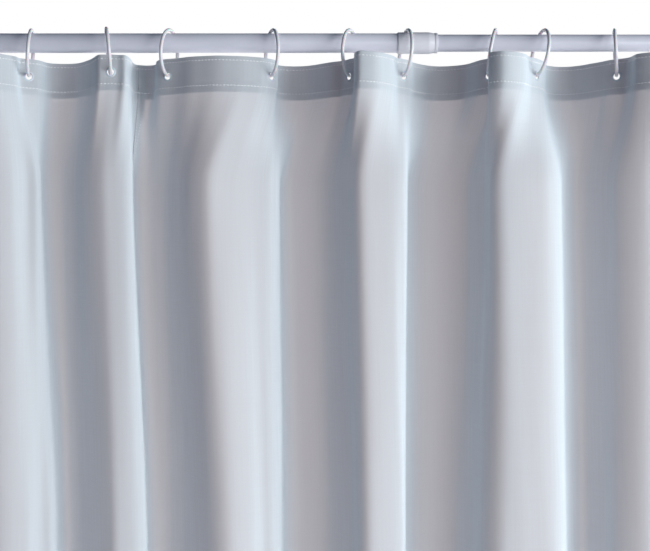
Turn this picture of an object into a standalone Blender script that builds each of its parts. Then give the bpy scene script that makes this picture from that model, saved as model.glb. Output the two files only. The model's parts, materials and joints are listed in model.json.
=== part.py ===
"""Shower curtain on a telescopic tension rod: a sewn cloth curtain in two widths, twelve rings and
twelve eyelets, hanging in uneven folds. Metres, +Z up. The origin is the centre of the left foot's
wall face, the rod runs along +X, and the front of the curtain faces -Y."""

import math
from typing import NamedTuple

import bmesh
import bpy
from mathutils import Matrix, Vector

# ---------------------------------------------------------------- driving dimensions
GAP = 0.0003                       # between pieces that touch on the real object
EDGE = 0.0006                      # bevel on turned edges
ROD_LENGTH = 1.28                  # wall to wall, as hung
OUTER_TUBE_RADIUS = 0.0125
INNER_TUBE_RADIUS = 0.0110
TUBE_WALL = 0.0009
OUTER_TUBE_ENDS = (0.0120, 0.7300)
INNER_TUBE_ENDS = (0.5503, ROD_LENGTH - 0.0120)
COLLAR_ENDS = (0.6840, 0.7360)
COLLAR_RADIUS = 0.01385
COLLAR_LIP_RADIUS = 0.01295
COLLAR_LIP_LENGTH = 0.0030
COLLAR_TAPER_LENGTH = 0.0110       # lip and taper together
FOOT_RADIUS = 0.0210
FOOT_THICKNESS = 0.0050
FOOT_CHAMFER = 0.0010
CAP_LENGTH = 0.0300
CAP_FLANGE_RADIUS = 0.0195
CAP_FLANGE_THICKNESS = 0.0020
CAP_WALL = 0.0012
CAP_SHOULDER = 0.0100              # where the cap's thicker root starts
CAP_ROOT_WALL = 0.0022
CAP_FLOOR = 0.0060
ROUND_STEPS = 24

STOP_ENDS = (0.4000, 0.4200)       # plug that is crimped inside the outer tube
SPINDLE_RADIUS = 0.0035
SPINDLE_ENDS = (0.3950, 0.7000)
SPINDLE_STEPS = 12
FOLLOWER_FLANGE = 0.0050
FOLLOWER_LENGTH = 0.0250
SPRING_RADIUS = 0.0082
SPRING_WIRE_RADIUS = 0.0009
SPRING_TURNS = 12
SPRING_POINTS_PER_TURN = 8
SPRING_WIRE_ROUNDING = 2

RING_RADIUS = 0.02925              # to the middle of the wire
RING_WIRE_RADIUS = 0.00225
RING_CLEARANCE = 0.00035           # over the collar, which every ring slides past
RING_TOP = COLLAR_RADIUS + RING_CLEARANCE + RING_WIRE_RADIUS
RING_STEPS = 24
WIRE_STEPS = 6

CURTAIN_WIDTH = 1.80               # flat
CURTAIN_DROP = 2.00
CURTAIN_TOP = -0.0208              # top edge, below the rod's axis
CLOTH_THICKNESS = 0.0004
HOLE_PITCH = 0.150                 # flat
STRAIGHT = 0.009                   # flat stretch of cloth each side of an eyelet
JOIN_SEAM = 0.467                  # flat, from the left side edge
EYELET_RADIUS = 0.0070
EYELET_HOLE_RADIUS = 0.0043
EYELET_GROOVE_RADIUS = 0.0052
EYELET_FLANGE = 0.00035
EYELET_CLEARANCE = 0.00025
CLOTH_HOLE_RADIUS = 0.0055
HOLE_DROP = 0.0012                 # of the eyelet's middle below the wire's middle
EYELET_STEPS = 16
CUTTER_DEPTH = 0.006
SAMPLES = 4                        # points on each stretch between two knots
SCALES = (0.2, 3.0)                # range of scales in which a line's true length is looked for
HALVINGS = 40
MERGE_DISTANCE = 0.00001


class Ring(NamedTuple):
    """How a ring hangs. Angles are in degrees."""

    x: float        # on the rod
    lean: float     # of its foot along the rod
    turn: float     # about the vertical
    swing: float    # to the front
    cloth: float    # the cloth's direction through it. Below 0 it leads to the front, towards +X


RINGS = (
    Ring(0.1150, 0.0030, -10, 0, -25),
    Ring(0.2090, -0.0040, 9, 0, 30),
    Ring(0.3046, 0.0095, 12, 20, 8),
    Ring(0.3898, -0.0044, -13, 0, -25),
    Ring(0.5211, -0.0004, 19, 0, 48),
    Ring(0.6238, -0.0026, -20, 0, -50),
    Ring(0.6966, -0.0039, 12, 0, 40),
    Ring(0.8123, -0.0100, -12, 0, -43),
    Ring(0.8740, -0.0085, 10, 0, 48),
    Ring(0.9660, 0.0030, -14, 0, -35),
    Ring(1.0680, -0.0040, 15, 0, 35),
    Ring(1.1590, 0.0030, -8, 0, -25),
)
SIDE_MARGIN = (CURTAIN_WIDTH - (len(RINGS) - 1) * HOLE_PITCH) / 2

# The knots of each fold, from one ring to the next: the share of the way along X, and the depth,
# which is below 0 to the front. The depths of a fold are scaled until its cloth has its real length.
FOLDS = (
    ((0.20, -0.036), (0.55, -0.040), (0.85, -0.018)),
    ((0.20, 0.028), (0.48, 0.032), (0.70, 0.012), (0.84, -0.014)),
    ((0.42, -0.012), (0.40, 0.010), (0.36, 0.028), (0.62, 0.028)),
    ((0.28, -0.028), (0.56, -0.036), (0.84, -0.022)),
    ((0.04, 0.026), (0.18, 0.036), (0.45, 0.034), (0.76, 0.014)),
    ((0.08, -0.044), (0.22, -0.056), (0.55, -0.036)),
    ((0.16, 0.022), (0.44, 0.040), (0.76, 0.032)),
    ((0.15, -0.019), (0.08, -0.033), (-0.08, -0.042), (-0.06, -0.054), (0.20, -0.063), (0.62, -0.046)),
    ((0.22, 0.036), (0.52, 0.040), (0.82, 0.016)),
    ((0.18, -0.032), (0.50, -0.042), (0.82, -0.018)),
    ((0.20, 0.030), (0.52, 0.038), (0.82, 0.014)),
)
LEFT_EDGE = (-0.036, 0.020)        # from the first ring to the curtain's side edge, along X and Y
RIGHT_EDGE = (0.030, -0.036)

MATERIALS = {
    # colour, roughness, metallic
    "rod_paint": ((0.55, 0.57, 0.64), 0.35, 0.0),
    "collar_plastic": ((0.68, 0.70, 0.74), 0.35, 0.0),
    "cap_plastic": ((0.62, 0.64, 0.70), 0.40, 0.0),
    "ring_plastic": ((0.86, 0.87, 0.88), 0.25, 0.0),
    "eyelet_plastic": ((0.70, 0.72, 0.78), 0.35, 0.0),
    "curtain_cloth": ((0.64, 0.67, 0.74), 0.55, 0.0),
    "foot_rubber": ((0.30, 0.30, 0.32), 0.80, 0.0),
    "spring_steel": ((0.55, 0.55, 0.56), 0.30, 1.0),
}


# ---------------------------------------------------------------- scene, materials, helpers
def clear_scene():
    """Removes all objects."""
    for old in list(bpy.data.objects):
        bpy.data.objects.remove(old, do_unlink=True)


def make_collection(name):
    """A new collection in the scene."""
    collection = bpy.data.collections.new(name)
    bpy.context.scene.collection.children.link(collection)
    return collection


def make_material(name, colour, roughness, metallic):
    """A plain material."""
    material = bpy.data.materials.new(name)
    material.use_nodes = True
    shader = material.node_tree.nodes["Principled BSDF"]
    shader.inputs["Base Color"].default_value = (*colour, 1.0)
    shader.inputs["Roughness"].default_value = roughness
    shader.inputs["Metallic"].default_value = metallic
    return material


def add_object(name, data, collection, material):
    """A new object with its material."""
    obj = bpy.data.objects.new(name, data)
    collection.objects.link(obj)
    data.materials.append(material)
    return obj


def move_to(obj, collection):
    """Takes an object out of its collections and into another."""
    for old in list(obj.users_collection):
        old.objects.unlink(obj)
    collection.objects.link(obj)


def turned(name, profile, steps, collection, material, closed=True):
    """A body of revolution about its own Z axis, from (radius, height) points down its outer side."""
    mesh = bpy.data.meshes.new(name)
    points = [(radius, 0.0, height) for radius, height in profile]
    last = len(points)
    edges = [(i, (i + 1) % last) for i in range(last if closed else last - 1)]
    mesh.from_pydata(points, edges, [])
    obj = add_object(name, mesh, collection, material)
    screw = obj.modifiers.new("Turn", "SCREW")
    screw.axis = "Z"
    screw.angle = math.tau
    screw.steps = steps
    screw.render_steps = steps
    screw.use_merge_vertices = True
    screw.merge_threshold = MERGE_DISTANCE
    screw.use_smooth_shade = True
    return obj


def on_rod(obj, x, slide=None, direction=1):
    """Puts a body's height 0 at x on the rod's axis. Its height grows towards +X, or -X for -1."""
    obj.rotation_euler = (0.0, direction * math.pi / 2, 0.0)
    obj.location = (x, 0.0, 0.0)
    if slide is not None:
        obj.parent = slide
        obj.location.x -= slide.location.x
    return obj


def sleeve(outer, inner, length):
    """The closed outline of a plain tube's wall."""
    return ((outer, length), (outer, 0.0), (inner, 0.0), (inner, length))


# ---------------------------------------------------------------- the rod
def make_tube(name, radius, ends, parts, paint, slide=None):
    """A plain tube between two places on the rod's axis."""
    wall = sleeve(radius, radius - TUBE_WALL, ends[1] - ends[0])
    on_rod(turned(name, wall, ROUND_STEPS, parts, paint), ends[0], slide)


def make_collar(parts, plastic):
    """A sleeve over the outer tube's end, whose lip closes down to the inner tube."""
    length = COLLAR_ENDS[1] - COLLAR_ENDS[0]
    tube_end = OUTER_TUBE_ENDS[1] - COLLAR_ENDS[0] + GAP
    profile = (
        (COLLAR_LIP_RADIUS - EDGE, length),
        (COLLAR_LIP_RADIUS, length - EDGE),
        (COLLAR_LIP_RADIUS, length - COLLAR_LIP_LENGTH),
        (COLLAR_RADIUS, length - COLLAR_TAPER_LENGTH),
        (COLLAR_RADIUS, EDGE),
        (COLLAR_RADIUS - EDGE, 0.0),
        (OUTER_TUBE_RADIUS + GAP, 0.0),
        (OUTER_TUBE_RADIUS + GAP, tube_end),
        (INNER_TUBE_RADIUS + GAP, tube_end),
        (INNER_TUBE_RADIUS + GAP, length),
    )
    on_rod(turned("collar", profile, ROUND_STEPS, parts, plastic), COLLAR_ENDS[0])


def make_end(side, tube_radius, x, direction, parts, plastic, rubber, slide=None):
    """An end cap and its rubber foot. Their height grows from the wall face at x inwards."""
    foot = (
        (0.0, FOOT_THICKNESS),
        (FOOT_RADIUS, FOOT_THICKNESS),
        (FOOT_RADIUS, FOOT_CHAMFER),
        (FOOT_RADIUS - FOOT_CHAMFER, 0.0),
        (0.0, 0.0),
    )
    pad = turned(side + "_rubber_foot", foot, ROUND_STEPS, parts, rubber, closed=False)
    on_rod(pad, x, slide, direction)
    base = FOOT_THICKNESS + GAP
    bore = tube_radius + GAP
    tip = base + CAP_LENGTH
    floor = base + CAP_FLOOR
    cap = (
        (0.0, floor),
        (bore, floor),
        (bore, tip),
        (bore + CAP_WALL, tip),
        (bore + CAP_ROOT_WALL, base + CAP_SHOULDER),
        (CAP_FLANGE_RADIUS, base + CAP_FLANGE_THICKNESS),
        (CAP_FLANGE_RADIUS, base),
        (0.0, base),
    )
    cap_body = turned(side + "_end_cap", cap, ROUND_STEPS, parts, plastic, closed=False)
    on_rod(cap_body, x, slide, direction)


def make_spring_unit(parts, inner_slide, plastic, steel):
    """Inside the rod: a stop fixed in the outer tube, its spindle, a spring, and the inner tube's
    plug, which presses on the spring."""
    bore = OUTER_TUBE_RADIUS - TUBE_WALL
    stop = sleeve(bore - GAP, SPINDLE_RADIUS + GAP, STOP_ENDS[1] - STOP_ENDS[0])
    on_rod(turned("spring_stop", stop, ROUND_STEPS, parts, plastic), STOP_ENDS[0])

    length = SPINDLE_ENDS[1] - SPINDLE_ENDS[0]
    spindle = (
        (0.0, length), (SPINDLE_RADIUS - EDGE, length), (SPINDLE_RADIUS, length - EDGE),
        (SPINDLE_RADIUS, 0.0), (0.0, 0.0))
    on_rod(turned("spindle", spindle, SPINDLE_STEPS, parts, steel, closed=False), SPINDLE_ENDS[0])

    flange_start = INNER_TUBE_ENDS[0] - GAP - FOLLOWER_FLANGE
    body_radius = INNER_TUBE_RADIUS - TUBE_WALL - GAP
    follower = (
        (body_radius, FOLLOWER_FLANGE + FOLLOWER_LENGTH),
        (body_radius, FOLLOWER_FLANGE),
        (INNER_TUBE_RADIUS - GAP, FOLLOWER_FLANGE),
        (INNER_TUBE_RADIUS - GAP, 0.0),
        (SPINDLE_RADIUS + GAP, 0.0),
        (SPINDLE_RADIUS + GAP, FOLLOWER_FLANGE + FOLLOWER_LENGTH),
    )
    on_rod(turned("spring_follower", follower, ROUND_STEPS, parts, plastic), flange_start, inner_slide)

    start = STOP_ENDS[1] + GAP + SPRING_WIRE_RADIUS
    end = flange_start - GAP - SPRING_WIRE_RADIUS
    count = SPRING_TURNS * SPRING_POINTS_PER_TURN
    curve = bpy.data.curves.new("tension_spring", "CURVE")
    curve.dimensions = "3D"
    curve.bevel_depth = SPRING_WIRE_RADIUS
    curve.bevel_resolution = SPRING_WIRE_ROUNDING
    curve.use_fill_caps = True
    coil = curve.splines.new("POLY")
    coil.points.add(count)
    for i, point in enumerate(coil.points):
        turn = math.tau * i / SPRING_POINTS_PER_TURN
        point.co = (
            start + (end - start) * i / count,
            SPRING_RADIUS * math.cos(turn),
            SPRING_RADIUS * math.sin(turn),
            1.0)
    add_object("tension_spring", curve, parts, steel)


# ---------------------------------------------------------------- the rings
def ring_lines(ring):
    """The middle of the wire at the top and at the foot of a ring."""
    angle = math.radians(ring.swing)
    top = Vector((ring.x, RING_TOP * math.sin(angle), RING_TOP * math.cos(angle)))
    across = ring.lean / (2 * RING_RADIUS)
    down = math.sqrt(1 - across * across)
    hang = Vector((across, -math.sin(angle) * down, -math.cos(angle) * down))
    return top, top + 2 * RING_RADIUS * hang


def make_ring(number, ring, slide, parts, plastic):
    """A closed ring, turned as it hangs."""
    top, foot = ring_lines(ring)
    down = (foot - top).normalized()
    turn = math.radians(ring.turn)
    front = Vector((math.sin(turn), -math.cos(turn), 0.0))
    front = (front - down * front.dot(down)).normalized()
    axis = down.cross(front)
    bpy.ops.mesh.primitive_torus_add(
        major_segments=RING_STEPS, minor_segments=WIRE_STEPS,
        major_radius=RING_RADIUS, minor_radius=RING_WIRE_RADIUS)
    obj = bpy.context.active_object
    obj.name = obj.data.name = f"ring_{number:02d}"
    move_to(obj, parts)
    obj.data.materials.append(plastic)
    obj.data.shade_smooth()
    obj.parent = slide
    obj.location = (top + foot) / 2 - slide.location
    obj.rotation_euler = Matrix((front, axis.cross(front), axis)).transposed().to_euler()


# ---------------------------------------------------------------- the cloth
def hole_place(ring):
    """Where the cloth's hole for this ring is."""
    foot = ring_lines(ring)[1]
    return Vector((foot.x, foot.y, foot.z - HOLE_DROP))


def cloth_direction(ring):
    """The cloth's direction in plan where it passes through a ring."""
    angle = math.radians(ring.cloth)
    return Vector((math.cos(angle), math.sin(angle)))


def hermite(a, b, slope_a, slope_b, t):
    """A point on the smooth curve from a to b."""
    return (
        a * (2 * t ** 3 - 3 * t ** 2 + 1) + slope_a * (t ** 3 - 2 * t ** 2 + t)
        + b * (3 * t ** 2 - 2 * t ** 3) + slope_b * (t ** 3 - t ** 2))


def smooth_line(knots, first_direction, last_direction):
    """A smooth line through the knots that leaves and arrives in the given directions."""
    slopes = [(b - a) / 2 for a, b in zip(knots, knots[2:])]
    slopes.insert(0, first_direction * (knots[1] - knots[0]).length)
    slopes.append(last_direction * (knots[-1] - knots[-2]).length)
    points = [knots[0]]
    for i in range(len(knots) - 1):
        for step in range(1, SAMPLES + 1):
            points.append(hermite(knots[i], knots[i + 1], slopes[i], slopes[i + 1], step / SAMPLES))
    return points


def length_of(points):
    """The length of a line through points."""
    return sum((b - a).length for a, b in zip(points, points[1:]))


def to_length(draw, length):
    """The line that draw(scale) gives at the scale where it has this length."""
    low, high = SCALES
    for _ in range(HALVINGS):
        scale = (low + high) / 2
        if length_of(draw(scale)) < length:
            low = scale
        else:
            high = scale
    return draw(low)


def fold_line(left, right, knots):
    """One fold's line in plan, between the straight stretches at two holes HOLE_PITCH apart."""
    from_x, to_x = hole_place(left).x, hole_place(right).x
    leave, arrive = cloth_direction(left), cloth_direction(right)
    start = hole_place(left).xy + leave * STRAIGHT
    end = hole_place(right).xy - arrive * STRAIGHT

    def draw(scale):
        middle = [Vector((from_x + share * (to_x - from_x), depth * scale)) for share, depth in knots]
        return smooth_line([start, *middle, end], leave, arrive)

    return to_length(draw, HOLE_PITCH - 2 * STRAIGHT)


def edge_line(ring, reach, outwards):
    """The cloth from the straight stretch at an outer hole to the side edge."""
    leave = cloth_direction(ring) * outwards
    start = hole_place(ring).xy + leave * STRAIGHT

    def draw(scale):
        return smooth_line([start, start + Vector(reach) * scale], leave, Vector((outwards, 0.0)))

    return to_length(draw, SIDE_MARGIN - STRAIGHT)


def plan_line():
    """The whole curtain's line in plan, from its left side edge to its right one."""
    points = list(reversed(edge_line(RINGS[0], LEFT_EDGE, -1)))
    for left, right, knots in zip(RINGS, RINGS[1:], FOLDS):
        points += fold_line(left, right, knots)
    points += edge_line(RINGS[-1], RIGHT_EDGE, 1)
    return points


def cut_line(points, start, end):
    """The stretch of a line between two lengths along it."""
    kept = [points[0]] if start <= 0.0 else []
    here = 0.0
    for a, b in zip(points, points[1:]):
        step = (b - a).length
        for mark in (start, end):
            if here < mark < here + step:
                kept.append(a.lerp(b, (mark - here) / step))
        here += step
        if start < here <= end:
            kept.append(b)
    return kept


def make_cloth(name, points, parts, cutters, cloth):
    """One width of the curtain: its line in plan drawn down, given its thickness, with its holes cut."""
    bm = bmesh.new()
    line = [bm.verts.new((p.x, p.y, CURTAIN_TOP)) for p in points]
    edges = [bm.edges.new(pair) for pair in zip(line, line[1:])]
    drawn = bmesh.ops.extrude_edge_only(bm, edges=edges)["geom"]
    lower = [v for v in drawn if isinstance(v, bmesh.types.BMVert)]
    bmesh.ops.translate(bm, verts=lower, vec=(0.0, 0.0, -CURTAIN_DROP))
    bmesh.ops.recalc_face_normals(bm, faces=bm.faces)
    mesh = bpy.data.meshes.new(name)
    bm.to_mesh(mesh)
    bm.free()
    obj = add_object(name, mesh, parts, cloth)
    wall = obj.modifiers.new("Thickness", "SOLIDIFY")
    wall.thickness = CLOTH_THICKNESS
    wall.offset = 0.0
    wall.use_even_offset = True
    low, high = min(p.x for p in points), max(p.x for p in points)
    for cutter in cutters:
        if low < cutter.location.x < high:
            hole = obj.modifiers.new(cutter.name, "BOOLEAN")
            hole.operation = "DIFFERENCE"
            hole.object = cutter


def make_hole_cutter(number, ring, collection):
    """A hidden cylinder that cuts the cloth's hole at a ring."""
    bpy.ops.mesh.primitive_cylinder_add(
        vertices=EYELET_STEPS, radius=CLOTH_HOLE_RADIUS, depth=CUTTER_DEPTH)
    cutter = bpy.context.active_object
    cutter.name = f"hole_cutter_{number:02d}"
    move_to(cutter, collection)
    cutter.location = hole_place(ring)
    cutter.rotation_euler = (-math.pi / 2, 0.0, math.radians(ring.cloth))
    cutter.hide_render = True
    cutter.display_type = "WIRE"
    return cutter


def make_eyelet(number, ring, slide, parts, plastic):
    """A bobbin-shaped eyelet whose groove holds the edge of the cloth's hole."""
    groove = CLOTH_THICKNESS / 2 + EYELET_CLEARANCE
    face = groove + EYELET_FLANGE
    profile = (
        (EYELET_RADIUS, face),
        (EYELET_RADIUS, groove),
        (EYELET_GROOVE_RADIUS, groove),
        (EYELET_GROOVE_RADIUS, -groove),
        (EYELET_RADIUS, -groove),
        (EYELET_RADIUS, -face),
        (EYELET_HOLE_RADIUS, -face),
        (EYELET_HOLE_RADIUS, face),
    )
    obj = turned(f"eyelet_{number:02d}", profile, EYELET_STEPS, parts, plastic)
    obj.parent = slide
    obj.location = hole_place(ring) - slide.location
    obj.rotation_euler = (-math.pi / 2, 0.0, math.radians(ring.cloth))


# ---------------------------------------------------------------- assembly
def make_slide(name, x, parts):
    """An empty on the rod's axis, which carries the pieces that slide together."""
    slide = bpy.data.objects.new(name, None)
    slide.location = (x, 0.0, 0.0)
    parts.objects.link(slide)
    return slide


def main():
    """Builds the rod, the rings with their eyelets, and the two widths of cloth."""
    clear_scene()
    parts = make_collection("shower_curtain")
    cutter_collection = make_collection("cutters")
    made = {name: make_material(name, *look) for name, look in MATERIALS.items()}

    inner_slide = make_slide("inner_tube_slide", INNER_TUBE_ENDS[0], parts)
    make_tube("outer_tube", OUTER_TUBE_RADIUS, OUTER_TUBE_ENDS, parts, made["rod_paint"])
    make_tube("inner_tube", INNER_TUBE_RADIUS, INNER_TUBE_ENDS, parts, made["rod_paint"], inner_slide)
    make_collar(parts, made["collar_plastic"])
    make_end("left", OUTER_TUBE_RADIUS, 0.0, 1, parts, made["cap_plastic"], made["foot_rubber"])
    make_end(
        "right", INNER_TUBE_RADIUS, ROD_LENGTH, -1, parts, made["cap_plastic"], made["foot_rubber"],
        inner_slide)
    make_spring_unit(parts, inner_slide, made["cap_plastic"], made["spring_steel"])

    cutters = []
    for number, ring in enumerate(RINGS, start=1):
        slide = make_slide(f"ring_{number:02d}_slide", ring.x, parts)
        make_ring(number, ring, slide, parts, made["ring_plastic"])
        make_eyelet(number, ring, slide, parts, made["eyelet_plastic"])
        cutters.append(make_hole_cutter(number, ring, cutter_collection))

    plan = plan_line()
    widths = {
        "curtain_left_width": cut_line(plan, 0.0, JOIN_SEAM - GAP),
        "curtain_right_width": cut_line(plan, JOIN_SEAM + GAP, length_of(plan)),
    }
    for name, line in widths.items():
        make_cloth(name, line, parts, cutters, made["curtain_cloth"])


main()
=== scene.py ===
"""Shower curtain on a telescopic tension rod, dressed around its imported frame.

The cloth, its hems, seams, stitches and eyelets, the rings and the rod's outer pieces are made here.
Everything is in metres, with +Z up, +X along the rod and -Y to the front.
"""

import json
import logging
import math
from dataclasses import dataclass, field
from enum import Enum
from typing import Callable, Iterable, Sequence

import bpy
import numpy as np
from mathutils import Matrix, Vector
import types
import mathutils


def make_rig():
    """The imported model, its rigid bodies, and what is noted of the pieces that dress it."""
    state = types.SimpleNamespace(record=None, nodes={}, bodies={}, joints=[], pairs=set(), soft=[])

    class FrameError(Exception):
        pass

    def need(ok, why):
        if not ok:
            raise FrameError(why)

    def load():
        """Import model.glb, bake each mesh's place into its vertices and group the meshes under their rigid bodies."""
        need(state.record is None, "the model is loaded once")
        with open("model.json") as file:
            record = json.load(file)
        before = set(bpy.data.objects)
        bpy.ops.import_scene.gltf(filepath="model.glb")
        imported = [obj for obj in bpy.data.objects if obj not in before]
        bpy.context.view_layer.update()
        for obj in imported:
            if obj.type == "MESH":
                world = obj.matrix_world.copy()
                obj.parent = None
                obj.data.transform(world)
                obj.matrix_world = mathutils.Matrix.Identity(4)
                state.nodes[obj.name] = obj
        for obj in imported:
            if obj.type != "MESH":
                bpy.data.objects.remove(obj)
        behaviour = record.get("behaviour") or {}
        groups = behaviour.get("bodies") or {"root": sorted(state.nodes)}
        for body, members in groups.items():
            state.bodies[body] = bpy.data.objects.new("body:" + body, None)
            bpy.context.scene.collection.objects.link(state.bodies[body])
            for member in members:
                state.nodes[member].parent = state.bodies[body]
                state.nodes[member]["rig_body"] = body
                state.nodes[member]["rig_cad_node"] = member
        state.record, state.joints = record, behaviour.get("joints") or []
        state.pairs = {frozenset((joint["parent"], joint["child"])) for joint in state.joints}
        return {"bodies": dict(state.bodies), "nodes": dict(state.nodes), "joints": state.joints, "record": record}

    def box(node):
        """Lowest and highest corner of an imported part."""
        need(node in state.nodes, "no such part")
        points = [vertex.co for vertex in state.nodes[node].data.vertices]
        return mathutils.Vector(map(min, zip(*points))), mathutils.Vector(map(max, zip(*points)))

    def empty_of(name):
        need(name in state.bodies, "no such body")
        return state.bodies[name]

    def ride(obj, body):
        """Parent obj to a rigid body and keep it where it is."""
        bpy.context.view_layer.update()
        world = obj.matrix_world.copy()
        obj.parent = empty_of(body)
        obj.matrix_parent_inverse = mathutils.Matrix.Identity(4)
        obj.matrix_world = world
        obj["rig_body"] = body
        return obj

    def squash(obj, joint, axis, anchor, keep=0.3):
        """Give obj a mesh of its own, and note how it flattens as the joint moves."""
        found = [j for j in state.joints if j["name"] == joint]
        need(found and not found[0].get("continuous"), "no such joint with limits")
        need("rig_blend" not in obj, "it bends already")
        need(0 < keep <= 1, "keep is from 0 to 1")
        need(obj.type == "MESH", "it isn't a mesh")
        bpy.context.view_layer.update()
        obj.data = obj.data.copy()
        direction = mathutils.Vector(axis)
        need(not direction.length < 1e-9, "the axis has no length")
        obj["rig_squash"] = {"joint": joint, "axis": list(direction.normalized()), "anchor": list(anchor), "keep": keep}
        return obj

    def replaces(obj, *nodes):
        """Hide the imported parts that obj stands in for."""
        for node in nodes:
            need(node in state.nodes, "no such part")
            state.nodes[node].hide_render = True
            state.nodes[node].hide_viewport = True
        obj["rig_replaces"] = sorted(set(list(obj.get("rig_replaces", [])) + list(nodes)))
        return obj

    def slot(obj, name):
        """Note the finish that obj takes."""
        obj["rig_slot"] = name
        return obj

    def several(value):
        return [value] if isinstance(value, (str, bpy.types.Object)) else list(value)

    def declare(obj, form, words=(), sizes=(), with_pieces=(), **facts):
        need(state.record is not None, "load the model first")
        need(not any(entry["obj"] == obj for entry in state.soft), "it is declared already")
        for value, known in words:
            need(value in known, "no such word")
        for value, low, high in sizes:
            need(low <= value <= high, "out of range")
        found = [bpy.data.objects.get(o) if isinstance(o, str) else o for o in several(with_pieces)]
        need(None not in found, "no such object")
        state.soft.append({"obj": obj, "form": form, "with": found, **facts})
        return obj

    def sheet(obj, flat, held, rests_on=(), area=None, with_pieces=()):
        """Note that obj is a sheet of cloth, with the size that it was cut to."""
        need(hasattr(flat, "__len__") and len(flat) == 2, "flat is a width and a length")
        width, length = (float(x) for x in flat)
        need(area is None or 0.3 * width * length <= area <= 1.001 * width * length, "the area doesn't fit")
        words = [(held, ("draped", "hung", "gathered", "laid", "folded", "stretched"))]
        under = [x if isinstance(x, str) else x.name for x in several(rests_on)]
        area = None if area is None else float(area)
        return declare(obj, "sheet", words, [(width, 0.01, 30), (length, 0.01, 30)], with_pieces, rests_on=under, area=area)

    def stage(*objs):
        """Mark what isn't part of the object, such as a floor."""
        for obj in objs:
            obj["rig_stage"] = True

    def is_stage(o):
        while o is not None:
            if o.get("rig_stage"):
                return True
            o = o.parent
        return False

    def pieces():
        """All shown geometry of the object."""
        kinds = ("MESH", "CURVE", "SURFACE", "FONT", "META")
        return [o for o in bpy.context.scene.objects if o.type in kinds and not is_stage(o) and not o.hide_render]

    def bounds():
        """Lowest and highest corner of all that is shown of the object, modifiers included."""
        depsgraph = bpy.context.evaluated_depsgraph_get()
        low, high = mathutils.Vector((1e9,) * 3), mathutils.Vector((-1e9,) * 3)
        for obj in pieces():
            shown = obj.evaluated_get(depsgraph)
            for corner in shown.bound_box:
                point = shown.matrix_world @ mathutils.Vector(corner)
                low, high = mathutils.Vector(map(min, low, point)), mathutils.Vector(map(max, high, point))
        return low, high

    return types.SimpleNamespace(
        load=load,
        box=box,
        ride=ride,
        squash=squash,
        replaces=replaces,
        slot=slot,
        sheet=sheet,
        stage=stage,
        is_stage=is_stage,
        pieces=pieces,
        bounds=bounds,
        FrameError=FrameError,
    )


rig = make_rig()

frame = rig.load()
CAD_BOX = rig.bounds()

log = logging.getLogger("shower_curtain")

Knots = Sequence[tuple[float, float]]
RING_COUNT = 12


# ------------------------------------------------------------------ shared mesh and node helpers
def middle_of(node: str) -> Vector:
    """The middle of a CAD node's box.

    Args:
        node: The CAD node's name.

    Returns:
        The point, in the row frame.
    """
    low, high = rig.box(node)
    return (low + high) / 2


def flat_axis(node: str) -> Vector:
    """The direction in which a round, flat CAD node is thinnest.

    Args:
        node: The CAD node's name.

    Returns:
        The unit normal of the node's own plane, either way round; the callers turn it.
    """
    points = np.array([v.co for v in frame["nodes"][node].data.vertices])
    _, _, rows = np.linalg.svd(points - points.mean(0), full_matrices=False)
    return Vector(rows[-1]).normalized()


def new_piece(name: str, vertices: Iterable, faces: Iterable, smooth: bool = True) -> bpy.types.Object:
    """Links a mesh object that stands at the origin.

    Args:
        name: The piece's name.
        vertices: The points, in the row frame.
        faces: The faces, as tuples of point numbers.
        smooth: Whether its faces are shaded smooth.

    Returns:
        The new object.
    """
    mesh = bpy.data.meshes.new(name)
    mesh.from_pydata([tuple(v) for v in vertices], [], [tuple(int(i) for i in f) for f in faces])
    mesh.update()
    if smooth:
        mesh.shade_smooth()
    piece = bpy.data.objects.new(name, mesh)
    bpy.context.scene.collection.objects.link(piece)
    return piece


def turned(name: str, outline: Knots, place: Matrix, steps: int = 96) -> bpy.types.Object:
    """A closed body of revolution about its own Z axis.

    Args:
        name: The piece's name.
        outline: Points (radius, height), down the outer side. A point with radius 0 closes an end,
            and an outline without one is joined end to end as a tube's wall.
        place: Where the body's own axes go.
        steps: How many faces go round.

    Returns:
        The new object, with its place in its mesh.
    """
    points, faces, rows = [], [], []
    for radius, height in outline:
        if radius <= 0.0:
            rows.append([len(points)] * steps)
            points.append(place @ Vector((0.0, 0.0, height)))
            continue
        rows.append(list(range(len(points), len(points) + steps)))
        for i in range(steps):
            turn = math.tau * i / steps
            points.append(place @ Vector((radius * math.cos(turn), radius * math.sin(turn), height)))
    pairs = list(zip(rows, rows[1:]))
    if outline[0][0] > 0.0:
        pairs.append((rows[-1], rows[0]))
    for upper, lower in pairs:
        for i in range(steps):
            j = (i + 1) % steps
            corners = dict.fromkeys((upper[i], lower[i], lower[j], upper[j]))
            if len(corners) > 2:
                faces.append(tuple(corners))
    piece = new_piece(name, points, faces)
    piece.data.set_sharp_from_angle(angle=math.radians(35))
    return piece


def rounded(outline: Knots, radius: float, steps: int = 4) -> list[tuple[float, float]]:
    """An outline with its corners rounded, except those on the axis.

    Args:
        outline: Points (radius, height).
        radius: The corners' radius, at most half of the shorter side next to a corner.
        steps: How many pieces each round corner has.

    Returns:
        The rounded outline.
    """
    closed = outline[0][0] > 0.0
    count = len(outline)
    result: list[tuple[float, float]] = []
    for i, point in enumerate(outline):
        if not closed and i in (0, count - 1):
            result.append(point)
            continue
        here = Vector(point)
        before = Vector(outline[i - 1]) - here
        after = Vector(outline[(i + 1) % count]) - here
        reach = min(radius, before.length / 2.2, after.length / 2.2)
        start, end = here + before.normalized() * reach, here + after.normalized() * reach
        for step in range(steps + 1):
            t = step / steps
            mixed = start * (1 - t) ** 2 + here * (2 * t * (1 - t)) + end * t ** 2
            result.append((mixed.x, mixed.y))
    return result


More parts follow.
